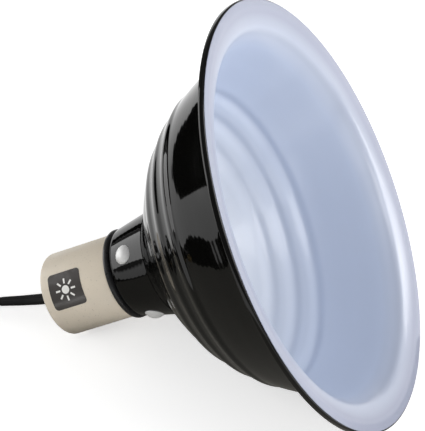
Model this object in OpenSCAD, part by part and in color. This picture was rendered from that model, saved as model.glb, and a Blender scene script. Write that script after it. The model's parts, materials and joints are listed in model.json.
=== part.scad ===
// Dome reflector grow lamp lying on its side: spun reflector, riveted neck, screw-base socket and flat cord.
// Units are mm. The lamp's own axis is turned once, in lamp(), so that the rim and the socket's back edge
// both touch Z = 0 and the mouth faces +X and up. Along that axis, b is the distance behind the rim plane.

/* [Reflector] */
// Radius of the rim
rim_r = 127; // [118:1:136]
// Distance from the rim plane to the neck
bowl_depth = 100; // [92:1:108]
// Thickness of the spun sheet
sheet = 0.9; // [0.7:0.1:1.1]
// Thickness of the white enamel inside
enamel = 0.3; // [0.2:0.05:0.4]
// Height of the three ribs round the shoulder
rib_h = 1.1; // [0.6:0.1:1.4]
// Length of the turned-back lip
lip_len = 3.6; // [2.6:0.2:5]

/* [Neck] */
// Length of the neck, from the bowl to its flat end
neck_len = 26; // [25:1:30]
// Radius of the neck at the bowl
neck_front_r = 32.3; // [31.5:0.1:33]
// Number of rivets round the neck
rivet_count = 4; // [3:1:5]
// Radius of a rivet's domed head
rivet_head_r = 5.6; // [4.5:0.1:6]

/* [Socket] */
// Radius of the ceramic housing
socket_r = 25; // [24:0.5:27]
// Length of the ceramic housing behind the collar
socket_len = 45.5; // [44:0.5:52]
// Inner radius of the screw shell
shell_r = 13.3; // [13.2:0.05:13.5]
// Side of the rating label
label_side = 22; // [16:1:24]

/* [Cord] */
// Width of the flat twin cord
cord_w = 6; // [5.4:0.2:6.2]
// Thickness of the flat twin cord
cord_t = 3.2; // [2.8:0.1:3.4]
// Width of the plug body
plug_w = 26; // [24:1:30]

/* [Hidden] */
$fn = 96;

gap = 0.05;              // running clearance between turned pieces
neck_end = bowl_depth + neck_len;
collar_t = 4;
body_b = neck_end + collar_t;          // front face of the housing
back_b = body_b + socket_len;          // flat back of the housing
edge_r = 2.5;                          // rounding of the housing's back edge
lip_r = 0.45;                          // rounding of the lip's back edge

// Tilt at which the lip and the housing's back edge touch the surface together.
rise = rim_r - lip_r - (socket_r - edge_r);
run = (back_b - edge_r) - (lip_len - lip_r);
tilt = atan2(rise, run) - asin((edge_r - lip_r) / sqrt(rise * rise + run * run));
lift = (rim_r - lip_r) * cos(tilt) + (lip_len - lip_r) * sin(tilt) + lip_r;
x_front = (rim_r - 1) * sin(tilt);
x_back = -(socket_r - edge_r) * sin(tilt) - (back_b - edge_r) * cos(tilt) - edge_r;
shift = -(x_front + x_back) / 2;

// Outline of the bowl's outer skin: [b, r] for a rim of 127 mm and a depth of 100 mm.
bowl = [[2.6, 117.2], [3.5, 113.6], [5, 110.6], [7.7, 108.3], [14, 104.4], [28, 98.2], [42, 91.4], [54, 84],
  [65, 75.3], [75, 65.2], [83, 55], [90, 44.2], [95, 37.2], [99, 32.7], [102, 29.5]];
rib_b = [49.7, 61, 71.5];              // middle of each rib
rib_half = 4.8;
kb = bowl_depth / 100;
kr = (rim_r - 32.3) / 94.7;

function spline(a, b, c, d, t) = ((2 * b) + (c - a) * t + (2 * a - 5 * b + 4 * c - d) * t * t
  + (3 * b - a - 3 * c + d) * t * t * t) / 2;
function bowl_point(i, t) = spline(bowl[i - 1], bowl[i], bowl[i + 1], bowl[i + 2], t);
function rib(b) = rib_h * max([for (c = rib_b)
  abs(b - c) < rib_half ? pow(cos(90 * (b - c) / rib_half), 2) : 0]);
steps = 6;
skin = [for (i = [1:len(bowl) - 3], t = [0:1 / steps:0.999]) bowl_point(i, t)];
smooth = [for (p = skin) [kb * p[0], 32.3 + kr * (p[1] - 32.3) + rib(p[0])]];
function normal(i) = let (d = smooth[min(i + 1, len(smooth) - 1)] - smooth[max(i - 1, 0)])
  [-d[1], d[0]] / norm(d);
// Skin moved inwards by t; the last points stay clear of the neck.
function inner(t) = [for (i = [0:len(smooth) - 1]) smooth[i] - t * [normal(i)[0], normal(i)[1]]];
function rz(list) = [for (p = list) [p[1], -p[0]]];
function flip(list) = [for (i = [len(list) - 1:-1:0]) list[i]];

neck_slope = 0.21875;
function neck_r(b) = neck_front_r - neck_slope * (b - bowl_depth + 0.4);
throat_gap = 0.95;                     // sleeve thickness and clearance, measured along r
throat_end = bowl_depth + 20.4;

module lamp() {
  translate([shift, 0, lift]) rotate([0, 90 - tilt, 0]) children();
}
module rod(r, b0, b1) {
  translate([0, 0, -b1]) cylinder(r = r, h = b1 - b0);
}
module ring(r0, r1, b0, b1) {
  difference() {
    rod(r1, b0, b1);
    rod(r0, b0 - 1, b1 + 1);
  }
}
module spin(points) {
  rotate_extrude($fn = 120) polygon(points);
}
function turned(a, r) = [r * cos(a), r * sin(a)];

// Sheet metal reflector: lip, flange, bowl and throat as one spun piece.
flange_b = enamel + gap;               // front of the steel flange under the enamel
flat_r = rim_r - 5.5;
module reflector() {
  color([0.02, 0.02, 0.025]) lamp() difference() {
    spin(concat(
      [[rim_r - lip_r, -lip_len], [rim_r, -lip_len + lip_r], [rim_r, -flange_b - 0.7],
       [rim_r - 0.5, -flange_b - 0.1], [rim_r - 0.9, -flange_b], [flat_r, -flange_b]],
      rz(inner(sheet)),
      [[neck_r(bowl_depth + 0.4) - throat_gap - sheet, -bowl_depth - 0.4],
       [neck_r(throat_end) - throat_gap - sheet, -throat_end],
       [neck_r(throat_end) - throat_gap, -throat_end],
       [neck_r(bowl_depth - 0.55) - throat_gap, -bowl_depth + 0.55],
       [neck_r(bowl_depth - 0.6), -bowl_depth + 0.6]],
      flip(rz(smooth)),
      [[flat_r, -flange_b - sheet], [rim_r - sheet, -flange_b - sheet], [rim_r - sheet, -lip_len + lip_r]]));
    rivet_holes();
  }
}

// White heat-proof enamel that lines the bowl and the front of the flange.
module reflector_lining() {
  color([0.80, 0.84, 0.93]) lamp() spin(concat([[rim_r - 1, 0], [flat_r, 0]], rz(inner(sheet + gap + enamel)),
    flip(rz(inner(sheet + gap))), [[flat_r, -enamel], [rim_r - 1, -enamel]]));
}

// Conical sleeve over the throat, closed at the back by a flat wall with a round hole.
barrel_r = 20;
wall = 0.9;
module neck_sleeve() {
  color([0.02, 0.02, 0.025]) lamp() difference() {
    spin([[neck_front_r, -bowl_depth + 0.4], [neck_r(neck_end - 5), -neck_end + 5],
      [neck_r(neck_end - 5) - 0.5, -neck_end + 2.8], [neck_r(neck_end - 5) - 1.5, -neck_end + 1],
      [neck_r(neck_end - 5) - 3.2, -neck_end], [barrel_r + 0.3, -neck_end],
      [barrel_r + 0.3, -neck_end + wall],
      [neck_r(neck_end - 5) - 3.4, -neck_end + wall], [neck_r(throat_end + 0.1) - wall, -throat_end - 0.1],
      [neck_front_r - wall, -bowl_depth + 0.4]]);
    rivet_holes();
  }
}

// Rivets through the sleeve and the throat, square to the cone.
rivet_b = bowl_depth + 14;
rivet_at = 208;                      // first rivet, round the lamp's axis
shank_r = 2.4;
cone_a = atan(neck_slope);
module at_rivets() {
  for (i = [0:rivet_count - 1]) rotate([0, 0, rivet_at + i * 360 / rivet_count])
    translate([neck_r(rivet_b), 0, -rivet_b]) rotate([0, 90 + cone_a, 0]) children();
}
module rivet_holes() {
  at_rivets() translate([0, 0, -6]) cylinder(r = shank_r + gap, h = 8);
}
cap_h = 2.6;
module neck_rivets() {
  ball = (rivet_head_r * rivet_head_r + cap_h * cap_h) / (2 * cap_h);
  color([0.78, 0.78, 0.76]) lamp() union() {
    difference() {
      at_rivets() union() {
        intersection() {
          translate([0, 0, cap_h - ball]) sphere(r = ball);
          translate([0, 0, -1.2]) cylinder(r = rivet_head_r, h = 6);
        }
        translate([0, 0, -3.6]) cylinder(r = 3.6, h = 2);
      }
      spin([[neck_r(bowl_depth) + 0.02, -bowl_depth], [neck_r(throat_end) + 0.02, -throat_end],
        [neck_r(throat_end) - throat_gap - sheet - 0.06, -throat_end],
        [neck_r(bowl_depth) - throat_gap - sheet - 0.06, -bowl_depth]]);
    }
    at_rivets() translate([0, 0, -3]) cylinder(r = shank_r, h = 3.4);
  }
}

// Ring nut on the housing's barrel that pulls the sleeve back against the collar, over a gasket.
nut_wall = 3.8;
gasket_front = 2;
module retaining_ring() {
  color([0.16, 0.16, 0.17]) lamp() difference() {
    ring(barrel_r + gap, barrel_r + nut_wall, neck_end - 7, neck_end - gasket_front);
    for (i = [0:5]) rotate([0, 0, 60 * i]) translate([barrel_r + 2.4, -2, -neck_end + 4]) cube([4, 4, 4]);
  }
}
module gasket() {
  color([0.55, 0.30, 0.18]) lamp()
    ring(barrel_r + 0.3, barrel_r + 3.6, neck_end - gasket_front, neck_end - wall);
}

// Black collar between the neck and the housing, with a groove in front of the housing.
module socket_collar() {
  color([0.05, 0.05, 0.055]) lamp() spin([[barrel_r + gap, -neck_end], [socket_r + 0.4, -neck_end],
    [socket_r + 1.7, -neck_end - 0.8], [socket_r + 2, -neck_end - 1.4], [socket_r + 2, -neck_end - 2.8],
    [socket_r + 1.6, -neck_end - 3.2], [socket_r - 1, -neck_end - 3.2], [socket_r - 1, -body_b],
    [barrel_r + gap, -body_b]]);
}

// Ceramic housing: barrel in front, shelf across the middle, wiring space behind. The screw shell stands on
// the ledge, and the centre contact lies in a pocket below it.
ledge_b = body_b + 1;
shelf_b = body_b + 9;
shelf_t = 7;
pocket_out = 11;
pocket_len = 15;
pocket_w = 8;
cavity_r = 19.5;
cap_ledge = 1.3;                       // how far the back cap's seat is wider than the wiring space
cavity_end = back_b - 3.5;
post_y = 16;
post_r = 3;
rivet_x = 8.3;
strap_screw_x = 13;
bolt_r = 1.5;
cap_bolt_r = 1.4;
pin_r = 1.2;
barrel_b = body_b - 18;
module socket_housing() {
  color([0.80, 0.77, 0.69]) lamp() difference() {
    spin(concat([[0, -barrel_b], [barrel_r - 0.8, -barrel_b], [barrel_r, -barrel_b - 0.8],
      [barrel_r, -body_b], [socket_r - 0.6, -body_b], [socket_r, -body_b - 0.6]],
      [for (a = [0:15:90]) [socket_r - edge_r + edge_r * cos(a), -back_b + edge_r - edge_r * sin(a)]],
      [[0, -back_b]]));
    rod(shell_r + shell_wall + gap, barrel_b - 1, ledge_b);
    translate([-pocket_out, -pocket_w / 2, -shelf_b]) cube([pocket_len, pocket_w, shelf_b - ledge_b + 0.1]);
    difference() {
      rod(cavity_r, shelf_b + shelf_t, cavity_end + 0.01);
      for (s = [-1, 1]) translate([0, s * post_y, 0]) rod(post_r, shelf_b + shelf_t - 1, cavity_end);
    }
    rod(cavity_r + cap_ledge, cavity_end, back_b + 1);
    for (s = [-1, 1]) {
      translate([0, s * post_y, 0]) rod(cap_bolt_r + gap, cavity_end - 12, cavity_end + 1);
      translate([s * rivet_x, 0, 0]) rod(pin_r + gap, ledge_b - 1, shelf_b + shelf_t + 1);
      translate([s * strap_screw_x, 0, 0]) rod(bolt_r + gap, shelf_b + 2, shelf_b + shelf_t + 1);
    }
  }
}

// Rating label, wrapped on the housing.
label_b = body_b + 28;
label_a = 226;
label_c = 2.4;
module label() {
  s = label_side / 2;
  color([0.04, 0.04, 0.045]) lamp() intersection() {
    ring(socket_r + 0.02, socket_r + 0.27, body_b + 1, back_b - 1);
    rotate([0, 0, label_a]) translate([socket_r - 8, 0, -label_b]) rotate([0, 90, 0]) linear_extrude(10) {
      square([2 * s, 2 * (s - label_c)], center = true);
      square([2 * (s - label_c), 2 * s], center = true);
      for (i = [-1, 1], j = [-1, 1])
        translate([i * (s - label_c), j * (s - label_c)]) circle(r = label_c, $fn = 48);
    }
  }
}

// Screw shell that narrows to a flange with a riveted tab.
plate = 0.5;
tab_w = 6;
pin_head_r = 1.9;
strap_t = 0.8;
shell_wall = 0.45;
shell_front = barrel_b + 1.5;
module screw_shell() {
  color([0.80, 0.66, 0.36]) lamp() difference() {
    union() {
      spin([[shell_r, -shell_front], [shell_r + shell_wall, -shell_front],
        [shell_r + shell_wall, -ledge_b + 2.3], [shell_r - 0.4, -ledge_b], [11.2, -ledge_b],
        [11.2, -ledge_b + plate], [shell_r - 0.7, -ledge_b + plate], [shell_r, -ledge_b + 2.5]]);
      translate([5.6, -tab_w / 2, -ledge_b]) cube([6.5, tab_w, plate]);
    }
    translate([rivet_x, 0, 0]) rod(pin_r + gap, ledge_b - 2, ledge_b + 1);
  }
}
module through_rivet(x, front_b) {
  translate([x, 0, 0]) {
    rod(pin_head_r, front_b - plate - 1, front_b - plate);
    rod(pin_r, front_b - plate, shelf_b + shelf_t + strap_t);
    rod(pin_head_r, shelf_b + shelf_t + strap_t, shelf_b + shelf_t + strap_t + 0.9);
  }
}
module shell_rivet() {
  color([0.74, 0.62, 0.36]) lamp() through_rivet(rivet_x, ledge_b);
}
module contact_rivet() {
  color([0.74, 0.62, 0.36]) lamp() through_rivet(-rivet_x, shelf_b);
}

// Centre contact: a riveted foot, and a sprung tongue that the lamp's tip presses down.
pivot_x = -5.7;
pivot_b = shelf_b - 0.35;
knuckle_r = 0.3;
tongue_a = 30;
tongue_len = 9;
module contact_foot() {
  color([0.85, 0.68, 0.34]) lamp() difference() {
    translate([-10.2, -tab_w / 2, -shelf_b]) cube([10.2 + pivot_x - knuckle_r - gap, tab_w, plate]);
    translate([-rivet_x, 0, 0]) rod(pin_r + gap, shelf_b - 2, shelf_b + 1);
  }
}
module contact_tongue() {
  color([0.85, 0.68, 0.34]) lamp() translate([pivot_x, 0, -pivot_b]) rotate([0, -tongue_a, 0]) {
    rotate([90, 0, 0]) cylinder(r = knuckle_r, h = tab_w - 1, center = true, $fn = 32);
    translate([0, -(tab_w - 1) / 2, -0.25]) cube([tongue_len, tab_w - 1, plate]);
    translate([6.6, 0, 0]) cylinder(r1 = 2, r2 = 1.3, h = 1);
  }
}

// Straps and screws behind the shelf.
module strap(s) {
  difference() {
    translate([s > 0 ? 5.4 : -16, -4, -shelf_b - shelf_t - strap_t]) cube([10.6, 8, strap_t]);
    translate([s * rivet_x, 0, 0]) rod(pin_r + gap, shelf_b, shelf_b + shelf_t + 2);
    translate([s * strap_screw_x, 0, 0]) rod(bolt_r + gap, shelf_b, shelf_b + shelf_t + 2);
  }
}
wire_r = 0.65;
head_b = shelf_b + shelf_t + strap_t + 2 * wire_r + gap;
module strap_screw(s) {
  difference() {
    translate([s * strap_screw_x, 0, 0]) {
      rod(2.6, head_b, head_b + 1.8);
      rod(bolt_r, shelf_b + 2.2, head_b);
    }
    translate([s * strap_screw_x - 3, -slot_w / 2, -head_b - 2.8]) cube([6, slot_w, 2]);
  }
}
module live_strap() {
  color([0.80, 0.62, 0.32]) lamp() strap(-1);
}
module neutral_strap() {
  color([0.76, 0.76, 0.74]) lamp() strap(1);
}
module live_screw() {
  color([0.80, 0.62, 0.32]) lamp() strap_screw(-1);
}
module neutral_screw() {
  color([0.76, 0.76, 0.74]) lamp() strap_screw(1);
}

// Leads from the cord to the screws: [x, y, z, radius], bare under the screw head.
lead_z = -shelf_b - shelf_t - strap_t - wire_r - gap / 2;
lead_path = [[0, 1.5, -cavity_end + 2.1, 1.2], [0.4, 1.9, -cavity_end + 4, 1.2],
  [2, 3.6, -cavity_end + 8, 1.2],
  [5, 6, -shelf_b - 17, 1.2], [9, 7.2, -shelf_b - 13, 1.2], [12.4, 7.2, lead_z - 2.4, 1.1],
  [14, 6.2, lead_z - 0.7, wire_r], [14.4, 4.8, lead_z, wire_r], [14.2, 2.3, lead_z, wire_r]];
module lead() {
  sweep(lead_path, [0, 0, 1], [0, -1, 0], [for (a = [0:45:315]) turned(a, 1)],
    [for (p = lead_path) p[3]], [1, 0, 0]);
}
module live_lead() {
  color([0.05, 0.05, 0.05]) lamp() rotate([0, 0, 180]) lead();
}
module neutral_lead() {
  color([0.85, 0.85, 0.83]) lamp() lead();
}

// Back cap with two screws, and the rubber strain relief that passes through it.
neck_of_relief = 5;
flange_of_relief = 6.6;
cap_head_r = 2.8;
cap_head_t = 1.6;
slot_w = 0.8;                          // width of every screw slot
module back_cap() {
  color([0.78, 0.75, 0.67]) lamp() difference() {
    rod(cavity_r + cap_ledge - gap, cavity_end, back_b);
    rod(neck_of_relief + gap, cavity_end - 1, back_b + 1);
    for (s = [-1, 1]) translate([0, s * post_y, 0]) {
      rod(cap_bolt_r + gap, cavity_end - 1, back_b + 1);
      rod(cap_head_r + 0.1, back_b - cap_head_t, back_b + 1);
    }
  }
}
module cap_screws() {
  color([0.70, 0.70, 0.70]) lamp() for (s = [-1, 1]) translate([0, s * post_y, 0]) difference() {
    union() {
      rod(cap_head_r, back_b - cap_head_t, back_b - 0.2);
      rod(cap_bolt_r, cavity_end - 10, back_b - cap_head_t);
    }
    translate([-3, -slot_w / 2, -back_b - 1]) cube([6, slot_w, 2]);
    translate([-slot_w / 2, -3, -back_b - 1]) cube([slot_w, 6, 2]);
  }
}
module strain_relief() {
  color([0.03, 0.03, 0.03]) union() {
    lamp() spin([[0, -cavity_end + 2], [flange_of_relief, -cavity_end + 2],
      [flange_of_relief, -cavity_end + gap], [neck_of_relief, -cavity_end + gap],
      [neck_of_relief, -back_b - gap], [flange_of_relief, -back_b - gap], [flange_of_relief, -back_b - 1.2],
      [flange_of_relief - 0.6, -back_b - 1.8], [0, -back_b - 1.8]]);
    sweep([for (q = nose) at_back(q)], into, into_last, section, [for (q = nose) q[3]], [0, 0, 1]);
  }
}

// Cord. Points are [dx, y, z above the surface]; dx is measured from the middle of the housing's back.
back_x = shift - back_b * cos(tilt);
back_z = lift - back_b * sin(tilt);
function at_back(q) = [back_x + q[0], q[1], q[2]];
into = [-cos(tilt), 0, -sin(tilt)];
into_last = unit([-10, 0, -2.2]);
// The nose bends with the cord; the last number is its size beside the cord's section.
nose = [[-1, 0, back_z - 0.6, 1.42], [-2.6, 0, back_z - 1.6, 1.4], [-5.6, 0, back_z - 3.2, 1.37],
  [-9, 0, back_z - 4.7, 1.33], [-12, 0, back_z - 5.9, 1.3], [-15.5, 0, back_z - 6.9, 1.27],
  [-25, 0, 11.2, 1.19],
  [-33, 0, 9.4, 1.12], [-38, 0, 8.3, 1.08]];
route = [[-38, 0, 8.3], [-43, 0, 7.4], [-53, 0, 5.8], [-63, 0, 4.4], [-73, 0, 3.3], [-83, 0, 2.5],
  [-93, 0, 2],
  [-103, 0, 1.7], [-115, 0, 1.6]];
coil_x = back_x - 115;
coil_y = -46.5;
coil_out = 46.5;
coil_in = 25.5;
coil_h = 8.2;
tail_r = 62;
tail = [for (a = [90:10:200]) let (k = min(1, (a - 90) / 60), e = k * k * (3 - 2 * k))
  [coil_x + (coil_out + (tail_r - coil_out) * e) * cos(a),
   coil_y + (coil_out + (tail_r - coil_out) * e) * sin(a),
   a < 170 ? 5 - 3.4 * e : 1.6 + 6.4 * pow(sin(3 * (a - 170)), 2)]];

lobe = cord_t / 2;
off = (cord_w - cord_t) / 2;
section = [for (a = [-60:40:60]) [off + lobe * cos(a), lobe * sin(a)], [0, lobe * 0.55],
  for (a = [120:40:240]) [-off + lobe * cos(a), lobe * sin(a)], [0, -lobe * 0.55]];
function unit(v) = v / norm(v);
function along(p, i) = unit(xyz(p[min(i + 1, len(p) - 1)]) - xyz(p[max(i - 1, 0)]));
function xyz(p) = [p[0], p[1], p[2]];
function ring_at(p, t, shape, size, up) = let (s = unit(cross(t, up)), n = cross(t, s))
  [for (q = shape) xyz(p) + size * (q[0] * s + q[1] * n)];
// One closed tube of the shape along the points; up never lies along them.
module sweep(p, first, last, shape, size, up) {
  n = len(shape);
  m = len(p);
  points = [for (i = [0:m - 1])
    each ring_at(p[i], i == 0 ? first : i == m - 1 ? last : along(p, i), shape, size[i], up)];
  faces = concat([[for (j = [0:n - 1]) j]], [[for (j = [n - 1:-1:0]) (m - 1) * n + j]],
    [for (i = [0:m - 2], j = [0:n - 1]) let (a = i * n + j, b = i * n + (j + 1) % n)
      each [[a, a + n, b + n], [a, b + n, b]]]);
  polyhedron(points, faces, convexity = 6);
}
module cord() {
  color([0.04, 0.04, 0.04])
    sweep([for (q = route) at_back(q)], into_last, [-1, 0, 0], section, [for (q = route) 1], [0, 0, 1]);
}
module cord_tail() {
  color([0.04, 0.04, 0.04]) sweep(tail, [-1, 0, 0], plug_dir, section, [for (q = tail) 1], [0, 0, 1]);
}
coil_lo = coil_in - cord_w / 2 - 0.3;
coil_hi = coil_out + cord_w / 2 + 0.3;
module at_tie() {
  translate([coil_x, coil_y, 0]) rotate([0, 0, -90]) children();
}
module cord_coil() {
  color([0.04, 0.04, 0.04]) difference() {
    translate([coil_x, coil_y, 0]) rotate_extrude() polygon([[coil_lo, 1], [coil_lo + 1, 0],
      [coil_hi - 1, 0], [coil_hi, 1], [coil_hi, coil_h - 1], [coil_hi - 1, coil_h], [coil_lo + 1, coil_h],
      [coil_lo, coil_h - 1]]);
    at_tie() translate([coil_lo - 2, -4.5, -1]) cube([coil_hi - coil_lo + 4, 9, 1.95]);
  }
}
module cord_tie() {
  lo = coil_lo - 0.5;
  hi = coil_hi + gap;
  color([0.10, 0.10, 0.11]) at_tie() difference() {
    translate([lo - 1, -4, 0]) cube([hi - lo + 2, 8, coil_h + 1]);
    translate([lo, -5, 0.9]) cube([hi - lo, 10, coil_h - 0.85]);
  }
}

// Two-blade plug, lying beside the coil in line with the end of the tail.
plug_t = 16;
plug_len = 30;
blade_y = 6.35;                        // blades stand half an inch apart
plug_dir = unit([tail[11][0] - tail[10][0], tail[11][1] - tail[10][1], 0]);
module at_plug() {
  translate([tail[11][0], tail[11][1], plug_t / 2]) rotate([0, 0, atan2(plug_dir[1], plug_dir[0])])
    children();
}
module plug_body() {
  w = plug_w / 2;
  color([0.04, 0.04, 0.04]) at_plug() difference() {
    intersection() {
      translate([0, 0, -plug_t / 2]) linear_extrude(plug_t)
        polygon([[0, -4.6], [6, -5.2], [10, -w + 3], [13, -w + 1], [17, -w], [plug_len - 2, -w],
          [plug_len, -w + 2], [plug_len, w - 2], [plug_len - 2, w], [17, w], [13, w - 1], [10, w - 3],
          [6, 5.2], [0, 4.6]]);
      rotate([90, 0, 0]) translate([0, 0, -w - 1]) linear_extrude(plug_w + 2)
        polygon([[0, -4], [8, -4.6], [13, -7.4], [16, -8], [plug_len, -8], [plug_len, 8], [16, 8], [13, 7.4],
          [8, 4.6], [0, 4]]);
    }
    for (s = [-1, 1]) translate([plug_len - 8, s * blade_y - 0.8, -4]) cube([9, 1.6, 8]);
  }
}
module plug_blades() {
  color([0.82, 0.74, 0.50]) at_plug() for (s = [-1, 1]) difference() {
    translate([plug_len - 7.9, s * blade_y - 0.75, s > 0 ? -3.95 : -3.15])
      cube([25, 1.5, s > 0 ? 7.9 : 6.3]);
    translate([plug_len + 13, s * blade_y, 0]) rotate([90, 0, 0])
      cylinder(r = 1.6, h = 4, center = true, $fn = 32);
  }
}

reflector();
reflector_lining();
neck_sleeve();
neck_rivets();
retaining_ring();
gasket();
socket_collar();
socket_housing();
label();
screw_shell();
shell_rivet();
contact_foot();
contact_tongue();
contact_rivet();
live_strap();
neutral_strap();
live_screw();
neutral_screw();
live_lead();
neutral_lead();
back_cap();
cap_screws();
strain_relief();
cord();
cord_coil();
cord_tail();
cord_tie();
plug_body();
plug_blades();
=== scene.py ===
import json
import math

import bmesh
import bpy
from mathutils import Matrix, Vector


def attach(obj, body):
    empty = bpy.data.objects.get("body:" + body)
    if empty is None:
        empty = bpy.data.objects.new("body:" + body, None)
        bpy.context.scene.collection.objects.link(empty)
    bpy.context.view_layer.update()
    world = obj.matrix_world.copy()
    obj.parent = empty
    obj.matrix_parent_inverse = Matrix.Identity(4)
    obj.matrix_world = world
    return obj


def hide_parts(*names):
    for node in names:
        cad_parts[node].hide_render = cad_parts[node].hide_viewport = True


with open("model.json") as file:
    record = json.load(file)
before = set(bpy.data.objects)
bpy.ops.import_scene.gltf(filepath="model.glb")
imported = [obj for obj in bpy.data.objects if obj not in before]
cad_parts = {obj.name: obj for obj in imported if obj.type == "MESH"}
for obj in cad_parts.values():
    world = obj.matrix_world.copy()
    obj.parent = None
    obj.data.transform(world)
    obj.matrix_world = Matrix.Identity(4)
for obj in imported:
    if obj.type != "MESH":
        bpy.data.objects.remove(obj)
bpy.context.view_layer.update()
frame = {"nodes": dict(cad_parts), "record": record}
MM = 0.001
BODY = "lamp"
NODES = frame["nodes"]

# The lamp's own frame: rim_mid is the middle of the mouth, out_dir points out of it, and b is the distance
# behind it. Sizes are in mm, and points of a turned outline are (r, b).
RIM_MOUNT_R = 124
mounts = {m["name"]: m for m in frame["record"]["mounts"]}
out_dir = Vector(mounts["bulb_socket"]["axis"]).normalized()
side = Vector((0, 1, 0))
down = side.cross(out_dir)
rim_mid = Vector(mounts["rim_face"]["pos_m"]) - RIM_MOUNT_R * MM * side
LAMP = Matrix.Translation(rim_mid) @ Matrix((down, side, out_dir)).transposed().to_4x4()


# ---------------------------------------------------------------- mesh helpers
def new_mesh(name, verts, faces, matrix=None):
    """A closed mesh with its faces turned outwards."""
    mesh = bpy.data.meshes.new(name)
    mesh.from_pydata([tuple(v) for v in verts], [], faces)
    if matrix is not None:
        mesh.transform(matrix)
    bm = bmesh.new()
    bm.from_mesh(mesh)
    bmesh.ops.recalc_face_normals(bm, faces=bm.faces)
    bm.to_mesh(mesh)
    bm.free()
    return mesh


def new_object(name, data):
    obj = bpy.data.objects.new(name, data)
    bpy.context.scene.collection.objects.link(obj)
    return obj


def add_mesh(name, verts, faces, material, sharp_deg=40, matrix=None):
    """A closed piece that rides on the lamp, smooth but for its sharp edges."""
    mesh = new_mesh(name, verts, faces, matrix)
    for p in mesh.polygons:
        p.use_smooth = True
    mesh.set_sharp_from_angle(angle=math.radians(sharp_deg))
    mesh.materials.append(material)
    obj = new_object(name, mesh)
    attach(obj, BODY)
    return obj


def loft_faces(count, n, closed=False):
    """Quads between count neighbouring rings of n points; unless closed, flat ends fill the outer rings."""
    faces = []
    for i in range(count if closed else count - 1):
        low, high = i * n, (i + 1) % count * n
        faces += [(low + j, low + (j + 1) % n, high + (j + 1) % n, high + j) for j in range(n)]
    if not closed:
        faces += [tuple(range(n)), tuple(range((count - 1) * n, count * n))[::-1]]
    return faces


def loft(name, rings, material, closed=False, **more):
    """A piece that joins neighbouring rings, each a list of equally many points."""
    verts = [v for ring in rings for v in ring]
    return add_mesh(name, verts, loft_faces(len(rings), len(rings[0]), closed), material, **more)


def turned(profile, segments):
    """Vertices and faces of a closed outline turned round the lamp's axis; points with r = 0 become poles."""
    verts, rings = [], []
    for r, b in profile:
        count = 1 if r < 1e-6 else segments
        rings.append([len(verts) + i for i in range(count)])
        for i in range(count):
            a = 2 * math.pi * i / segments
            verts.append(Vector((r * MM * math.cos(a), r * MM * math.sin(a), -b * MM)))
    faces = []
    for low, high in zip(rings, rings[1:] + rings[:1]):
        if len(low) == 1 and len(high) == 1:
            continue
        for j in range(segments):
            k = (j + 1) % segments
            if len(low) == 1:
                faces.append((low[0], high[k], high[j]))
            elif len(high) == 1:
                faces.append((low[j], low[k], high[0]))
            else:
                faces.append((low[j], low[k], high[k], high[j]))
    return verts, faces


def lathe(name, profile, material, segments):
    return add_mesh(name, *turned(profile, segments), material, matrix=LAMP)


def catmull(p0, p1, p2, p3, t):
    """A point of the smooth curve between p1 and p2; the points are Vectors."""
    return 0.5 * (
        2 * p1
        + (p2 - p0) * t
        + (2 * p0 - 5 * p1 + 4 * p2 - p3) * t**2
        + (3 * p1 - p0 - 3 * p2 + p3) * t**3
    )


def smooth_line(points, steps):
    """Catmull-Rom curve through all the points, with steps pieces between two of them."""
    p = [Vector(q) for q in points]
    p = [2 * p[0] - p[1]] + p + [2 * p[-1] - p[-2]]
    line = [catmull(*p[i : i + 4], k / steps) for i in range(len(p) - 3) for k in range(steps)]
    return line + [p[-2]]


def sweep(name, line, section, sizes, material, first, last):
    """A tube of the section along the line, its first axis kept level; sizes scales each ring."""
    tangents = [first] + [after - before for before, after in zip(line, line[2:])] + [last]
    rings = []
    for p, tangent, size in zip(line, tangents, sizes):
        t = tangent.normalized()
        level = t.cross(Vector((0, 0, 1))).normalized()
        rise = t.cross(level)
        rings.append([p + size * MM * (x * level + y * rise) for x, y in section])
    return loft(name, rings, material, sharp_deg=50)


# ---------------------------------------------------------------- materials
def new_material(name):
    mat = bpy.data.materials.new(name)
    mat.use_nodes = True
    return mat, mat.node_tree, mat.node_tree.nodes["Principled BSDF"]


def feed(tree, socket, value):
    """Links another node's output to the socket, or sets the socket's own value."""
    if isinstance(value, bpy.types.NodeSocket):
        tree.links.new(value, socket)
    else:
        socket.default_value = value


def node(tree, kind, **inputs):
    """A node with its inputs fed by name, or by number as at_0, at_1 and so on."""
    n = tree.nodes.new(kind)
    for key, value in inputs.items():
        name = key.replace("_", " ")
        feed(tree, n.inputs[int(name[3:])] if name.startswith("at ") else n.inputs[name], value)
    return n


def maths(tree, operation, a, b=0.0):
    n = node(tree, "ShaderNodeMath", at_0=a, at_1=b)
    n.operation = operation
    return n.outputs[0]


def vector_maths(tree, operation, a, b, output):
    n = node(tree, "ShaderNodeVectorMath", at_0=a, at_1=b)
    n.operation = operation
    return n.outputs[output]


def place(tree):
    return tree.nodes.new("ShaderNodeTexCoord").outputs["Object"]


def fractal(tree, scale, detail=4.0):
    n = node(tree, "ShaderNodeTexNoise", Vector=place(tree), Scale=scale, Detail=detail, Roughness=0.55)
    return n.outputs["Fac"]


def remap(tree, value, low, high, to_low, to_high):
    n = node(tree, "ShaderNodeMapRange", Value=value, From_Min=low, From_Max=high)
    n.inputs["To Min"].default_value = to_low
    n.inputs["To Max"].default_value = to_high
    return n.outputs["Result"]


def mix(tree, factor, a, b):
    """Mixes two colours; 6 and 7 are the mix node's colour inputs, and 2 is its colour output."""
    n = tree.nodes.new("ShaderNodeMix")
    n.data_type = "RGBA"
    feed(tree, n.inputs[0], factor)
    for number, colour in ((6, a), (7, b)):
        feed(tree, n.inputs[number], (*colour, 1) if isinstance(colour, tuple) else colour)
    return n.outputs[2]


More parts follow.
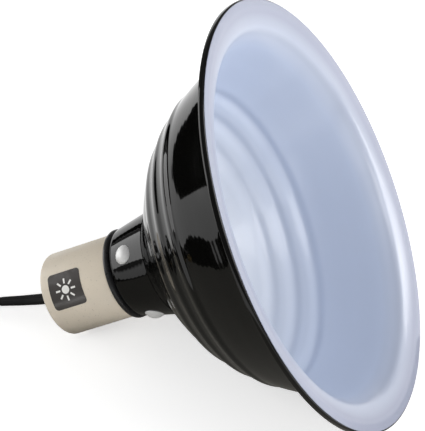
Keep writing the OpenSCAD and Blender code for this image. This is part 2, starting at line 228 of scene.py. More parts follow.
def bump(tree, bsdf, *layers):
    """Bump layers, each (height, strength, distance in mm), chained into the shader's normal."""
    normal = None
    for height, strength, distance in layers:
        n = node(tree, "ShaderNodeBump", Height=height, Strength=strength, Distance=distance * MM)
        if normal is not None:
            feed(tree, n.inputs["Normal"], normal)
        normal = n.outputs["Normal"]
    feed(tree, bsdf.inputs["Normal"], normal)


def dress(tree, bsdf, colour, roughness, **others):
    """Feeds the shader's colour and roughness, and its other inputs by name."""
    feed(tree, bsdf.inputs["Base Color"], colour)
    feed(tree, bsdf.inputs["Roughness"], roughness)
    for key, value in others.items():
        feed(tree, bsdf.inputs[key.replace("_", " ")], value)


def behind(tree):
    """Distance behind the rim plane, in metres, for rings and bands round the lamp's axis."""
    offset = vector_maths(tree, "SUBTRACT", place(tree), tuple(rim_mid), "Vector")
    return vector_maths(tree, "DOT_PRODUCT", offset, tuple(-out_dir), "Value")


def turning_marks(tree, per_mm, wobble):
    """Fine marks round the axis, from -1 to 1, that wander by up to wobble mm."""
    b = maths(tree, "ADD", behind(tree), maths(tree, "MULTIPLY", fractal(tree, 30), wobble * MM))
    return maths(tree, "SINE", maths(tree, "MULTIPLY", b, per_mm * 2 * math.pi / MM))


def black_enamel():
    mat, tree, bsdf = new_material("black_enamel")
    dust = remap(tree, fractal(tree, 900, 2), 0.69, 0.78, 0, 0.35)
    colour = mix(tree, dust, (0.0018, 0.0018, 0.0016), (0.02, 0.019, 0.017))
    haze = remap(tree, fractal(tree, 22, 5), 0.3, 0.75, 0.03, 0.08)
    dress(tree, bsdf, colour, haze, Specular_IOR_Level=0.3)
    waves = (fractal(tree, 14, 2), 0.5, 0.9)
    marks = (turning_marks(tree, 0.35, 1.5), 0.12, 0.02)
    grain = (fractal(tree, 260, 3), 0.12, 0.05)
    bump(tree, bsdf, waves, marks, grain)
    return mat


def white_enamel():
    """Bluish white inside the bowl, with painted light and shade by depth: the flat flange painted darker as
    painted shade, a band on the crest where the bowl turns into the flat flange painted lighter than the
    flange and less blue than the bowl as a painted highlight, and the deep bowl painted whiter as a painted
    sheen.
    """
    mat, tree, bsdf = new_material("white_enamel")
    b = behind(tree)
    shade = remap(tree, fractal(tree, 7, 2), 0.25, 0.75, 0, 1)
    front = mix(tree, shade, (0.435, 0.50, 0.645), (0.445, 0.51, 0.655))
    # Deeper than 45 mm the bowl is painted whiter and less blue: painted sheen.
    bowl = mix(tree, remap(tree, b, 0.045, 0.085, 0, 1), front, (0.53, 0.565, 0.635))
    # The flat flange is painted darker as painted shade, and the crest lighter as a painted highlight.
    rim = mix(tree, remap(tree, b, 0.0008, 0.0035, 0, 1), (0.238, 0.26, 0.355), (0.37, 0.41, 0.515))
    colour = mix(tree, remap(tree, b, 0.005, 0.014, 0, 1), rim, bowl)
    roughness = remap(tree, fractal(tree, 30, 2), 0.2, 0.8, 0.4, 0.48)
    dress(tree, bsdf, colour, roughness, Specular_IOR_Level=0.9, Coat_Weight=0.35, Coat_Roughness=0.12)
    bump(tree, bsdf, (turning_marks(tree, 0.3, 0.6), 0.05, 0.02))
    return mat


def scaled(colour, factor):
    return tuple(factor * c for c in colour)


def cream_ceramic(name, base, rough):
    mat, tree, bsdf = new_material(name)
    cloud = remap(tree, fractal(tree, 35, 5), 0.3, 0.7, 0, 1)
    pits = remap(tree, fractal(tree, 1100, 2), 0.66, 0.74, 0, 0.6)
    colour = mix(tree, pits, mix(tree, cloud, scaled(base, 0.93), scaled(base, 1.04)), (0.33, 0.29, 0.24))
    roughness = remap(tree, fractal(tree, 90), 0.3, 0.7, rough, rough + 0.14)
    dress(tree, bsdf, colour, roughness, Subsurface_Weight=0.05, Subsurface_Radius=(0.002, 0.0015, 0.001))
    bump(tree, bsdf, (fractal(tree, 500), 0.3, 0.08), (fractal(tree, 60, 3), 0.2, 0.2))
    return mat


def metal(name, colour, rough, metallic=1.0):
    brushed = 300
    mat, tree, bsdf = new_material(name)
    stain = remap(tree, fractal(tree, 120), 0.35, 0.7, 0, 0.5)
    roughness = remap(tree, fractal(tree, brushed, 3), 0.3, 0.7, rough, rough + 0.15)
    dress(tree, bsdf, mix(tree, stain, colour, scaled(colour, 0.72)), roughness, Metallic=metallic)
    bump(tree, bsdf, (fractal(tree, brushed * 4, 3), 0.2, 0.03))
    return mat


def plastic(name, colour, rough, grain=700, depth=0.04, gloss=0.5):
    mat, tree, bsdf = new_material(name)
    fade = remap(tree, fractal(tree, 50), 0.35, 0.7, 0, 1)
    light = tuple(min(1.0, 1.25 * c + 0.006) for c in colour)
    roughness = remap(tree, fractal(tree, 160), 0.3, 0.7, rough, rough + 0.15)
    dress(tree, bsdf, mix(tree, fade, colour, light), roughness, Specular_IOR_Level=gloss)
    bump(tree, bsdf, (fractal(tree, grain, 3), 0.35, depth))
    return mat


def woven():
    mat, tree, bsdf = new_material("tie_weave")
    waves = []
    for axis in "XZ":
        w = node(tree, "ShaderNodeTexWave", Vector=place(tree), Scale=420, Distortion=0.4, Detail=1.0)
        w.bands_direction = axis
        waves.append(w.outputs["Fac"])
    threads = maths(tree, "MULTIPLY", *waves)
    dress(tree, bsdf, mix(tree, threads, (0.010, 0.010, 0.011), (0.045, 0.045, 0.05)), 0.85, Sheen_Weight=0.3)
    bump(tree, bsdf, (threads, 0.6, 0.15))
    return mat


MAT = {
    "black_enamel": black_enamel(),
    "white_enamel": white_enamel(),
    "ceramic": cream_ceramic("cream_ceramic", (0.74, 0.66, 0.54), 0.34),
    "cap": cream_ceramic("cream_plastic", (0.58, 0.54, 0.46), 0.5),
    "rivet": metal("rivet_metal", (0.88, 0.88, 0.87), 0.5, metallic=0.5),
    "collar": plastic("collar_black", (0.012, 0.012, 0.013), 0.22),
    "phenolic": plastic("phenolic", (0.03, 0.03, 0.032), 0.45),
    "fibre": plastic("fibre", (0.35, 0.16, 0.08), 0.8, grain=900, depth=0.1),
    "label": plastic("label_film", (0.05, 0.045, 0.042), 0.12, grain=300, depth=0.01, gloss=0.7),
    "ink": plastic("label_ink", (0.72, 0.71, 0.68), 0.4, grain=900, depth=0.01),
    "brass": metal("brass", (0.80, 0.62, 0.30), 0.25),
    "shell": metal("shell_brass", (0.82, 0.70, 0.42), 0.3),
    "nickel": metal("nickel", (0.70, 0.69, 0.66), 0.25),
    "wire_black": plastic("wire_black", (0.012, 0.012, 0.012), 0.4),
    "wire_white": plastic("wire_white", (0.70, 0.70, 0.67), 0.4),
    "rubber": plastic("relief_rubber", (0.005, 0.005, 0.005), 0.42, grain=900, depth=0.05, gloss=0.3),
    "cord": plastic("cord_vinyl", (0.004, 0.004, 0.004), 0.3, grain=1200, depth=0.03, gloss=0.3),
    "tie": woven(),
}

# ---------------------------------------------------------------- camera
CAM_AZ, CAM_EL, CAM_ROLL = math.radians(6.9), math.radians(44.44), math.radians(1.08)
cam_data = bpy.data.cameras.new("camera")
cam_data.lens = 164.7
cam_data.sensor_width = 36
cam_data.clip_start, cam_data.clip_end = 0.05, 20
camera = new_object("camera", cam_data)
camera.location = (0.0837, -0.7929, 0.8827)
aim = Matrix.Rotation(CAM_AZ, 4, "Z") @ Matrix.Rotation(math.pi / 2 - CAM_EL, 4, "X")
camera.rotation_euler = (aim @ Matrix.Rotation(CAM_ROLL, 4, "Z")).to_euler()
bpy.context.scene.camera = camera

# ---------------------------------------------------------------- cord, its relief, coil, tie and plug
CORD_W, CORD_T = 6.0, 3.2
BACK_B = 175.5
BACK_MID = rim_mid - out_dir * BACK_B * MM
BACK_Z = BACK_MID.z / MM


def at_back(x, y, z):
    """A point from the middle of the housing's back along X and Y, and from the surface along Z, in mm."""
    return Vector((BACK_MID.x + x * MM, y * MM, z * MM))


# The relief's middle line with its size in cord sections, then the cord's route down to the surface.
NOSE = [
    (-1, 0, BACK_Z - 0.6, 1.42),
    (-2.6, 0, BACK_Z - 1.6, 1.4),
    (-5.6, 0, BACK_Z - 3.2, 1.37),
    (-9, 0, BACK_Z - 4.7, 1.33),
    (-12, 0, BACK_Z - 5.9, 1.3),
    (-15.5, 0, BACK_Z - 6.9, 1.27),
    (-25, 0, 11.2, 1.19),
    (-33, 0, 9.4, 1.12),
    (-38, 0, 8.3, 1.08),
]
NOSE_END = Vector((-10, 0, -2.2)).normalized()
ROUTE = [
    (-38, 0, 8.3),
    (-43, 0, 7.4),
    (-53, 0, 5.8),
    (-63, 0, 4.4),
    (-73, 0, 3.3),
    (-83, 0, 2.5),
    (-93, 0, 2),
    (-103, 0, 1.7),
    (-115, 0, 1.6),
]
COIL_X, COIL_Y = -115, -46.5
COIL_OUT, COIL_IN = 46.5, 25.5
LAYER_TURNS, RAMP_TURNS, LAYER_RISE = 3.4, 0.2, 3.4
TURN_POINTS = 40
COIL_START_DEG = 90
FLOOR_Z = CORD_T / 2
TIE_DEG, TIE_LIFT_DEG = 270, 20
TAIL_R, TAIL_DROP_DEG, TAIL_RISE_DEG, TAIL_STEP_DEG, TAIL_POINTS = 62, 60, 80, 5, 23
PLUG_LIFT = 6.4


def twin_section(steps=9, open_deg=140):
    """Outline of the flat twin cord: two round lobes with a groove between them."""
    lobe, off = CORD_T / 2, (CORD_W - CORD_T) / 2
    spread = [math.radians(-open_deg + 2 * open_deg * i / steps) for i in range(steps + 1)]
    right = [(off + lobe * math.cos(a), lobe * math.sin(a)) for a in spread]
    return right + [(-x, -y) for x, y in right]


def ease(k):
    k = min(1.0, max(0.0, k))
    return k * k * (3 - 2 * k)


def round_coil(r, deg, z):
    a = math.radians(deg)
    return at_back(COIL_X + r * math.cos(a), COIL_Y + r * math.sin(a), z)


def coil_point(t):
    """The coil after t turns: inwards on the surface, up once, and outwards on top, lifted over the tie."""
    spread = COIL_OUT - COIL_IN
    if t <= LAYER_TURNS:
        r = COIL_OUT - spread * t / LAYER_TURNS
    elif t <= LAYER_TURNS + RAMP_TURNS:
        r = COIL_IN
    else:
        r = COIL_IN + spread * (t - LAYER_TURNS - RAMP_TURNS) / LAYER_TURNS
    deg = COIL_START_DEG + 360 * t
    off_tie = (deg - TIE_DEG + 180) % 360 - 180
    lift = math.exp(-((off_tie / TIE_LIFT_DEG) ** 4))
    return round_coil(r, deg, FLOOR_Z + LAYER_RISE * ease((t - LAYER_TURNS) / RAMP_TURNS) + lift)


def tail_point(deg):
    """The cord's end, deg further round: off the coil's top, down beside it and up into the plug."""
    out = ease(deg / TAIL_DROP_DEG)
    if deg < TAIL_RISE_DEG:
        z = FLOOR_Z + LAYER_RISE * (1 - out)
    else:
        z = FLOOR_Z + PLUG_LIFT * math.sin(math.radians(3 * (deg - TAIL_RISE_DEG))) ** 2
    return round_coil(COIL_OUT + (TAIL_R - COIL_OUT) * out, COIL_START_DEG + deg, z)


turns = 2 * LAYER_TURNS + RAMP_TURNS
coil = [coil_point(i / TURN_POINTS) for i in range(1, round(turns * TURN_POINTS))]
tail = [tail_point(TAIL_STEP_DEG * i) for i in range(TAIL_POINTS)]
cord_line = smooth_line([at_back(*p) for p in ROUTE], 3) + coil + tail
plug_dir = (tail[-1] - tail[-3]).xy.to_3d().normalized()

section = twin_section()
cord = sweep("flat_cord", cord_line, section, [1.0] * len(cord_line), MAT["cord"], NOSE_END, plug_dir)
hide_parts("cord", "cord_coil", "cord_tail")

nose_line = smooth_line([at_back(x, y, z) for x, y, z, _ in NOSE], 4)
nose_size = [v.x for v in smooth_line([(size, 0, 0) for *_, size in NOSE], 4)]
relief = sweep("relief_nose", nose_line, section, nose_size, MAT["rubber"], -out_dir, NOSE_END)
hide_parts("strain_relief")

# The relief's two flanges grip the back cap's hole between them.
inner_flange = [(0, 170.2), (6.2, 170.2), (6.5, 170.6), (6.5, 171.6), (5, 171.9)]
outer_flange = [
    (5, BACK_B), (6.3, 175.6), (6.6, 175.9), (6.5, 176.6), (6.1, 177.1), (5.4, 177.4), (0, 177.5),
]
flange = lathe("relief_flange", inner_flange + outer_flange, MAT["rubber"], 64)


def superellipse(half_w, half_h, steps, power=4.5):
    """A rounded-box outline."""
    points = []
    for i in range(steps):
        c, s = math.cos(2 * math.pi * i / steps), math.sin(2 * math.pi * i / steps)
        x = math.copysign(abs(c) ** (2 / power), c) * half_w
        points.append((x, math.copysign(abs(s) ** (2 / power), s) * half_h))
    return points


# Stations along the plug: distance, half width and half height.
PLUG_STATIONS = [
    (0, 4.2, 3.7), (0.5, 4.5, 3.95), (6, 5.1, 4.3), (8, 6.8, 4.8), (10, 9.4, 5.8),
    (13, 11.6, 7.2), (17, 12.8, 7.85), (27.5, 12.8, 7.85), (29.4, 12.3, 7.4), (30, 11.3, 6.6),
]
PLUG_HALF_W, PLUG_HALF_H, PLUG_Z = 12.9, 7.95, 8
GRIP_FROM, GRIP_TO, GRIP_DEPTH, GRIP_WAVE = 17, 27, 0.25, 2.6
PLUG_MID = Vector((tail[-1].x, tail[-1].y, PLUG_Z * MM))
plug_side = Vector((-plug_dir.y, plug_dir.x, 0))
PLUG = Matrix.Translation(PLUG_MID) @ Matrix((plug_dir, plug_side, Vector((0, 0, 1)))).transposed().to_4x4()


def make_plug():
    """The plug's moulded body: a narrow neck that swells into a rounded block with grip rings."""
    rings = []
    for p in smooth_line(PLUG_STATIONS, 6):
        grip = GRIP_DEPTH * math.sin(p.x * GRIP_WAVE) ** 2 if GRIP_FROM < p.x < GRIP_TO else 0
        outline = superellipse(min(p.y, PLUG_HALF_W) - grip, min(p.z, PLUG_HALF_H) - grip, 48)
        rings.append([(p.x * MM, y * MM, z * MM) for y, z in outline])
    return loft("plug_shell", rings, MAT["cord"], sharp_deg=55, matrix=PLUG)


plug = make_plug()
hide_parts("plug_body")


def make_tie():
    """A woven strap round the coil's section."""
    near, far, top, corner = COIL_IN - 4.3, COIL_OUT + 3.75, 8.65, 1.6
    half_w, half_t, bevel_w, bevel_t = 3.9, 0.45, 0.3, 0.1
    flat_w, flat_t = half_w - bevel_w, half_t - bevel_t
    cut = [(-half_w, -flat_t), (-flat_w, -half_t), (flat_w, -half_t), (half_w, -flat_t)]
    cut += [(-w, -h) for w, h in cut]
    low = corner + half_t
    path = []
    for x, z, start in (
        (far - corner, low, -90),
        (far - corner, top - corner, 0),
        (near + corner, top - corner, 90),
        (near + corner, low, 180),
    ):
        for k in range(7):
            a = math.radians(start + 15 * k)
            path.append(Vector((x + corner * math.cos(a), z + corner * math.sin(a))))
    rings = []
    for before, at, after in zip(path[-1:] + path[:-1], path, path[1:] + path[:1]):
        along = (after - before).normalized()
        rings.append([((at.x + along.y * h) * MM, w * MM, (at.y - along.x * h) * MM) for w, h in cut])
    matrix = Matrix.Translation(at_back(COIL_X, COIL_Y, 0)) @ Matrix.Rotation(math.radians(TIE_DEG), 4, "Z")
    return loft("tie_strap", rings, MAT["tie"], closed=True, sharp_deg=60, matrix=matrix)


tie = make_tie()
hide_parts("cord_tie")

# ---------------------------------------------------------------- reflector
SHEET, ENAMEL, GAP = 0.9, 0.3, 0.05
RIM_R, FLAT_R = 126.1, 121.5
BOWL = [
    (2.6, 117.2), (3.5, 113.6), (5, 110.6), (7.7, 108.3), (14, 104.4), (28, 98.2), (42, 91.4), (54, 84),
    (65, 75.3), (75, 65.2), (83, 55), (90, 44.2), (95, 37.2), (99, 32.7), (102, 29.5),
]
RIBS, RIB_HALF, RIB_H = (49.7, 61, 71.5), 4.8, 1.1
NECK_B, NECK_R, NECK_SLOPE = 99.6, 32.3, 0.21875
THROAT_FROM, THROAT_TO, THROAT_IN = 100.4, 120.4, 0.95


def rib(b):
    """Height of the ribs over the bowl's skin."""
    near = [c for c in RIBS if abs(b - c) < RIB_HALF]
    return RIB_H * max([math.cos(math.pi / 2 * (b - c) / RIB_HALF) ** 2 for c in near], default=0)


def bowl_skin(steps=14):
    """Outer skin of the bowl as (b, r), ribs included; BOWL's first and last point only steer the curve."""
    p = [Vector((b, r, 0)) for b, r in BOWL]
    line = [catmull(*p[i - 1 : i + 3], k / steps) for i in range(1, len(p) - 2) for k in range(steps)]
    return [Vector((q.x, q.y + rib(q.x))) for q in line]


SKIN = bowl_skin()


def inner(t):
    """Outline of the skin moved inwards by t."""
    outline = []
    last = len(SKIN) - 1
    for i, p in enumerate(SKIN):
        step = (SKIN[min(i + 1, last)] - SKIN[max(i - 1, 0)]).normalized()
        outline.append((p.y - t * step.x, p.x + t * step.y))
    return outline


def neck_r(b):
    return NECK_R - NECK_SLOPE * (b - NECK_B)


def throat_r(b):
    return neck_r(b) - THROAT_IN


FLANGE_B = ENAMEL + GAP
lip = [(126.55, 3.6), (126.85, 3.45), (127, 3.15), (127, 1.2), (126.9, 0.75), (126.6, 0.45)]
throat = [
    (throat_r(THROAT_FROM) - SHEET, THROAT_FROM),
    (throat_r(THROAT_TO) - SHEET, THROAT_TO),
    (throat_r(THROAT_TO), THROAT_TO),
    (throat_r(99.45), 99.45),
    (neck_r(99.4), 99.4),
]
shell_profile = (
    lip
    + [(RIM_R, FLANGE_B), (FLAT_R, FLANGE_B)]
    + inner(SHEET)
    + throat
    + inner(0)[::-1]
    + [(FLAT_R, FLANGE_B + SHEET), (RIM_R, FLANGE_B + SHEET), (RIM_R, 3.15), (126.25, 3.45)]
)
lining_profile = (
    [(126, 0.05), (125.7, 0), (122.2, 0), (121.6, 0.02), (120.6, 0.25)]
    + inner(SHEET + GAP + ENAMEL)
    + inner(SHEET + GAP)[::-1]
    + [(FLAT_R, ENAMEL), (126, ENAMEL)]
)
shell = lathe("reflector_shell", shell_profile, MAT["black_enamel"], 224)
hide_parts("reflector")
lining = lathe("reflector_white", lining_profile, MAT["white_enamel"], 224)
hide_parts("reflector_lining")

# ---------------------------------------------------------------- neck, rivets and collar
sleeve_outside = [(32.1, 99.55), (32.32, 99.75)] + [(neck_r(b), b) for b in (101, 110, 118, 120.6)]
sleeve_shoulder = [
    (27.45, 121.6), (27.2, 122.8), (26.9, 123.9), (26.3, 124.9), (25.4, 125.6), (24.4, 126), (20.3, 126),
]
sleeve_inside = [
    (20.3, 125.1), (24.2, 125.1), (25.3, 124.6), (26.1, 123.5),
    (neck_r(120.6) - 1, 120.6), (neck_r(101) - 0.92, 101), (31.5, 99.6),
]
sleeve = lathe("neck_cone", sleeve_outside + sleeve_shoulder + sleeve_inside, MAT["black_enamel"], 160)
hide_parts("neck_sleeve")

RIVETS, RIVET_B, RIVET_DEG = 4, 114, 208
HEAD_R, HEAD_H = 5.6, 2.6


def make_rivets():
    """Domed rivets set square to the neck's cone, each a closed head, shank and tail."""
    ball = (HEAD_R**2 + HEAD_H**2) / (2 * HEAD_H)
    edge = math.asin(HEAD_R / ball)
    angles = [edge * k / 12 for k in range(13)]
    dome = [(ball * math.sin(a), ball - HEAD_H - ball * math.cos(a)) for a in angles]
    shank = [(5.62, 0.2), (5.5, 0.6), (2.4, 0.7), (2.4, 2)]
    tail_head = [(3.5, 2.05), (3.6, 2.3), (3.5, 3.4), (3, 3.6), (0, 3.65)]
    one_verts, one_faces = turned(dome + shank + tail_head, 40)
    verts, faces = [], []
    for k in range(RIVETS):
        at = (
            Matrix.Rotation(math.radians(RIVET_DEG + 360 * k / RIVETS), 4, "Z")
            @ Matrix.Translation((neck_r(RIVET_B) * MM, 0, -RIVET_B * MM))
            @ Matrix.Rotation(math.pi / 2 + math.atan(NECK_SLOPE), 4, "Y")
        )
        faces += [tuple(len(verts) + i for i in face) for face in one_faces]
        verts += [at @ v for v in one_verts]
    return add_mesh("rivet_set", verts, faces, MAT["rivet"], matrix=LAMP)


rivets = make_rivets()
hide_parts("neck_rivets")

collar_profile = [
    (20.05, 126.02), (25.2, 126.02), (25.5, 126.15), (26.5, 126.7), (26.9, 127.1), (27, 127.5), (27, 128.7),
    (26.85, 129), (26.5, 129.2), (24.2, 129.25), (24, 129.35), (24, 129.98), (20.05, 129.98),
]
collar = lathe("collar_ring", collar_profile, MAT["collar"], 160)
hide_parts("socket_collar")

# ---------------------------------------------------------------- socket
HOUSING_R, BACK_ROUND = 25, 2.5
SEAT_B = 131
THREAD_FROM, THREAD_LENGTH, THREAD_DEPTH, THREADS, THREAD_STEPS = 113, 12.8, 0.35, 6, 8


def cut_pocket(obj, xs, ys, bs):
    """Cuts a rectangular pocket, given in mm in the lamp's own frame, out of a piece."""
    corners = [(xs[0], ys[0]), (xs[1], ys[0]), (xs[1], ys[1]), (xs[0], ys[1])]
    verts = [(x * MM, y * MM, -b * MM) for b in bs for x, y in corners]
    tool = new_object("pocket_tool", new_mesh("pocket_tool", verts, loft_faces(2, 4), LAMP))
    cut = obj.modifiers.new("pocket", "BOOLEAN")
    cut.operation, cut.object, cut.solver = "DIFFERENCE", tool, "EXACT"
    graph = bpy.context.evaluated_depsgraph_get()
    done = bpy.data.meshes.new_from_object(obj.evaluated_get(graph))
    obj.modifiers.remove(cut)
    obj.data = done
    bpy.data.objects.remove(tool)


def barrel_thread():
    """The ring nut's thread on the housing's barrel, as round grooves."""
    count = THREADS * THREAD_STEPS
    points = []
    for k in range(count + 1):
        groove = 1 - math.cos(2 * math.pi * k / THREAD_STEPS)
        points.append((20 - THREAD_DEPTH * groove, THREAD_FROM + THREAD_LENGTH * k / count))
    return points


def back_round():
    """Quarter round between the housing's side and its back."""
    r, b = HOUSING_R - BACK_ROUND, BACK_B - BACK_ROUND
    angles = [math.radians(deg) for deg in range(0, 91, 10)]
    return [(r + BACK_ROUND * math.cos(a), b + BACK_ROUND * math.sin(a)) for a in angles]


bulb_hole = [(0, SEAT_B), (13.8, SEAT_B), (13.8, 113), (14.1, 112.4), (14.7, 112.05), (15.2, 112), (19, 112)]
housing_profile = (
    bulb_hole
    + [(19.6, 112.3)]
    + barrel_thread()
    + [(20, 130), (24.3, 130), (24.8, 130.2), (HOUSING_R, 130.7)]
    + back_round()
    + [(20.85, BACK_B), (20.8, 175.3), (20.8, 172), (19.5, 172), (19.5, 146), (0, 146)]
)
housing = lathe("ceramic_housing", housing_profile, MAT["ceramic"], 160)
cut_pocket(housing, (-11, 4), (-4, 4), (130.5, 139))
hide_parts("socket_housing")


def make_screw_shell():
    """Rolled shell with a helical thread that fades out at both ends."""
    outside, inside, depth, pitch = 13.62, 13.36, 0.3, 3.629
    top, height, step, n = 113.8, 14.6, 0.3, 96
    rows = int(height / step)

    def ring(radius, i):
        b = top + step * i
        fade = min(1, i / 4, (rows - i) / 4)
        points = []
        for j in range(n):
            a = 2 * math.pi * j / n
            r = radius - depth * fade * (0.5 + 0.5 * math.cos(2 * math.pi * b / pitch + a))
            points.append((r * MM * math.cos(a), r * MM * math.sin(a), -b * MM))
        return points

    rings = [ring(outside, i) for i in range(rows + 1)] + [ring(inside, i) for i in range(rows, -1, -1)]
    return loft("screw_shell_thread", rings, MAT["shell"], closed=True, sharp_deg=60, matrix=LAMP)


screw_shell = make_screw_shell()
floor_profile = [
    (13.32, 128.2), (12.6, 130.4), (11.2, 130.5),
    (11.2, 130.97), (12.85, 130.97), (13.66, 128.6), (13.62, 128.2),
]
shell_floor = lathe("screw_shell_floor", floor_profile, MAT["shell"], 96)
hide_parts("screw_shell")


def make_shell_tab():
    """Round-ended tongue of the shell's floor, through which the shell is riveted to the ceramic."""
    middle, half, root, front_b, back_b = 8.6, 3, 12.1, 130.52, 130.96
    angles = [math.pi * (0.5 + k / 16) for k in range(17)]
    outline = [(root, -half), (root, half)]
    outline += [(middle + half * math.cos(a), half * math.sin(a)) for a in angles]
    rings = [[(x * MM, y * MM, -b * MM) for x, y in outline] for b in (front_b, back_b)]
    return loft("screw_shell_tab", rings, MAT["shell"], matrix=LAMP)


make_shell_tab()

# ---------------------------------------------------------------- label
LABEL_B, LABEL_DEG, LABEL_HALF, LABEL_CORNER = 158, 226, 11, 2.4
LABEL_FROM_R, LABEL_TO_R, INK_TO_R = 25.02, 25.22, 25.26
LABEL_MID_R = 25.15


def rounded_square(half, corner, steps=8, along=14):
    """Outline of a rounded square, with its straight sides cut up so that they follow the housing."""
    points = []
    flat = half - corner
    for k in range(4):
        quarter = Matrix.Rotation(math.pi / 2 * k, 2)
        straight = [(half, -flat + 2 * flat * i / along) for i in range(along)]
        arc = [math.pi / 2 * i / steps for i in range(steps)]
        rounded = [(flat + corner * math.cos(a), flat + corner * math.sin(a)) for a in arc]
        points += [tuple(quarter @ Vector(p)) for p in straight + rounded]
    return points


def wrap(x, y, r):
    """A point of the flat label, x along the axis and y round it, laid on a cylinder of radius r, in mm."""
    a = math.radians(LABEL_DEG) + y / LABEL_MID_R
    return (r * math.cos(a) * MM, r * math.sin(a) * MM, (-LABEL_B + x) * MM)


def wrapped(name, outline, r0, r1, material, bands=10):
    """A thin plate on the housing, with an outline that is star-shaped about its middle."""
    cx = sum(x for x, _ in outline) / len(outline)
    cy = sum(y for _, y in outline) / len(outline)
    sizes = [0.02] + [i / bands for i in range(1, bands + 1)]

    def ring(size, r):
        return [wrap(cx + (x - cx) * size, cy + (y - cy) * size, r) for x, y in outline]

    rings = [ring(size, r0) for size in sizes] + [ring(size, r1) for size in sizes[::-1]]
    return loft(name, rings, material, sharp_deg=30, matrix=LAMP)


label = wrapped(
    "label_plate", rounded_square(LABEL_HALF, LABEL_CORNER), LABEL_FROM_R, LABEL_TO_R, MAT["label"]
)
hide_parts("label")

SUN_R, RAYS, RAY_MID, RAY_LENGTH, RAY_W = 2.5, 8, 5.2, 3, 1.1


def circle(radius, n=32):
    angles = [2 * math.pi * i / n for i in range(n)]
    return [(radius * math.cos(a), radius * math.sin(a)) for a in angles]


def ray(deg):
    """Outline of a bar that points away from the sun, with points halfway along its sides."""
    c, s = math.cos(math.radians(deg)), math.sin(math.radians(deg))
    corners = []
    for u, v in ((-1, -1), (0, -1), (1, -1), (1, 0), (1, 1), (0, 1), (-1, 1), (-1, 0)):
        x, y = RAY_MID + u * RAY_LENGTH / 2, v * RAY_W / 2
        corners.append((x * c - y * s, x * s + y * c))
    return corners


marks = {"mark_sun": circle(SUN_R)} | {f"mark_ray_{k}": ray(360 * k / RAYS) for k in range(RAYS)}
for name, outline in marks.items():
    mark = wrapped(name, outline, LABEL_TO_R - 0.02, INK_TO_R, MAT["ink"], bands=3)

# ---------------------------------------------------------------- CAD nodes that stay, with their materials
STAYING = {
    "retaining_ring": "phenolic",
    "gasket": "fibre",
    "shell_rivet": "brass",
    "contact_foot": "brass",
    "contact_tongue": "brass",
    "contact_rivet": "brass",
    "live_strap": "brass",
    "neutral_strap": "nickel",
    "live_screw": "brass",
    "neutral_screw": "nickel",
    "live_lead": "wire_black",
    "neutral_lead": "wire_white",
    "back_cap": "cap",
    "cap_screws": "nickel",
    "plug_blades": "brass",
}
for name, key in STAYING.items():
    for s in NODES[name].material_slots:
        s.material = MAT[key]


# ---------------------------------------------------------------- floor, cards, lights and world
def flat_stage(name, corners, z, low, high, scale, gloss):
    """A flat matt piece of the stage, clouded between two colours."""
    mesh = bpy.data.meshes.new(name)
    mesh.from_pydata([(x, y, z * MM) for x, y in corners], [], [tuple(range(len(corners)))])
    mat, tree, bsdf = new_material(name)
    dress(tree, bsdf, mix(tree, fractal(tree, scale, 3), low, high), 0.9, Specular_IOR_Level=gloss)
    mesh.materials.append(mat)
    obj = new_object(name, mesh)
    return obj, tree, bsdf


FLOOR = 6
corners = [(-FLOOR, -FLOOR), (FLOOR, -FLOOR), (FLOOR, FLOOR), (-FLOOR, FLOOR)]
_, tree, bsdf = flat_stage("floor", corners, 0, (0.91, 0.91, 0.91), (0.93, 0.93, 0.93), 3, 0.1)
feed(tree, bsdf.inputs["Emission Color"], (1, 1, 1, 1))
feed(tree, bsdf.inputs["Emission Strength"], 0.5)


def show_from_above(tree, bsdf):
    """Makes a card's underside clear, so that the table under it keeps its light."""
    facing = tree.nodes.new("ShaderNodeNewGeometry").outputs["Backfacing"]
    clear = tree.nodes.new("ShaderNodeBsdfTransparent").outputs[0]
    sides = node(tree, "ShaderNodeMixShader", at_0=facing, at_1=bsdf.outputs[0], at_2=clear)
    feed(tree, tree.nodes["Material Output"].inputs["Surface"], sides.outputs[0])


def flag(name, corners, z, shade, matt=False):
    """A dark card on the table, out of the camera's sight, that only glossy surfaces see, as a painted
    reflection, or only matt surfaces see, as painted shade.
    """
    obj, tree, bsdf = flat_stage(name, corners, z, shade, scaled(shade, 1.3), 6, 0.0)
    obj.visible_camera = obj.visible_shadow = False
    obj.visible_diffuse, obj.visible_glossy = matt, not matt
    if matt:
        show_from_above(tree, bsdf)


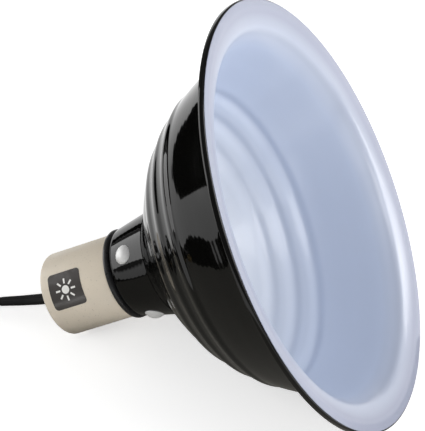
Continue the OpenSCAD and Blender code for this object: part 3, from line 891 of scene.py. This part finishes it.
BLACK = (0.005, 0.005, 0.005)
far_card = [
    (-0.44, 0.47), (-0.51, 0.33), (-0.57, 0.2), (-0.72, 0.06),
    (-1.7, 0.1), (-3.5, 2.6), (-2.6, 3.5), (-1.1, 1.4),
]
front_card = [
    (-0.08, 0.045), (-0.28, -0.085), (-0.34, -0.16), (-0.22, -0.28),
    (-0.2, -0.6), (0.2, -0.6), (0.2, 0.0),
]
edge_card = [
    (-0.08, 0.05), (-0.27, -0.075), (-0.45, -0.1), (-0.48, -0.19),
    (-0.26, -0.19), (-0.27, -0.09), (-0.08, 0.04),
]
socket_card = [(-0.16, -0.1), (-0.03, -0.1), (-0.03, 0.02), (-0.16, 0.02)]
# flag_far and flag_edge are painted dark reflections in the black enamel where the table is white; flag_front
# is a painted shadow of the lamp on the table, seen only in reflections; flag_socket is painted shade on the
# socket's underside, hiding the bright table from it.
flag("flag_far", far_card, 4, BLACK)
flag("flag_front", front_card, 3, (0.33, 0.32, 0.29))
flag("flag_edge", edge_card, 5, BLACK)
flag("flag_socket", socket_card, 2, (0.1, 0.095, 0.085), matt=True)


def area_light(name, at, target, size, power):
    data = bpy.data.lights.new(name, "AREA")
    data.shape = "RECTANGLE"
    data.size, data.size_y = size
    data.energy = power
    obj = new_object(name, data)
    obj.location = at
    obj.rotation_euler = (Vector(target) - Vector(at)).to_track_quat("-Z", "Y").to_euler()
    return obj


area_light("left_box", (-1.78, 0.25, 0.42), (0, 0, 0.15), (1.5, 0.8), 13)
area_light("top_box", (0.0, 0.1, 2.2), (0, 0, 0), (3.2, 3.2), 5)
area_light("right_high", (1.4, -0.5, 1.5), (0, 0, 0.1), (1.0, 1.0), 14)
area_light("right_back", (1.7, 0.8, 0.7), (0, 0, 0.1), (1.0, 1.0), 24)
area_light("right_front", (1.3, -1.4, 0.8), (0, 0, 0.1), (1.0, 1.0), 6)
fill = area_light("front_fill", (-0.9, -1.5, 1.6), (0, 0, 0.05), (1.4, 1.4), 17)
fill.visible_glossy = False

world = bpy.data.worlds.new("studio")
bpy.context.scene.world = world
world.use_nodes = True
background = world.node_tree.nodes["Background"]
background.inputs["Color"].default_value = (1, 1, 1, 1)
background.inputs["Strength"].default_value = 0.17

bpy.context.scene.view_settings.view_transform = "Standard"
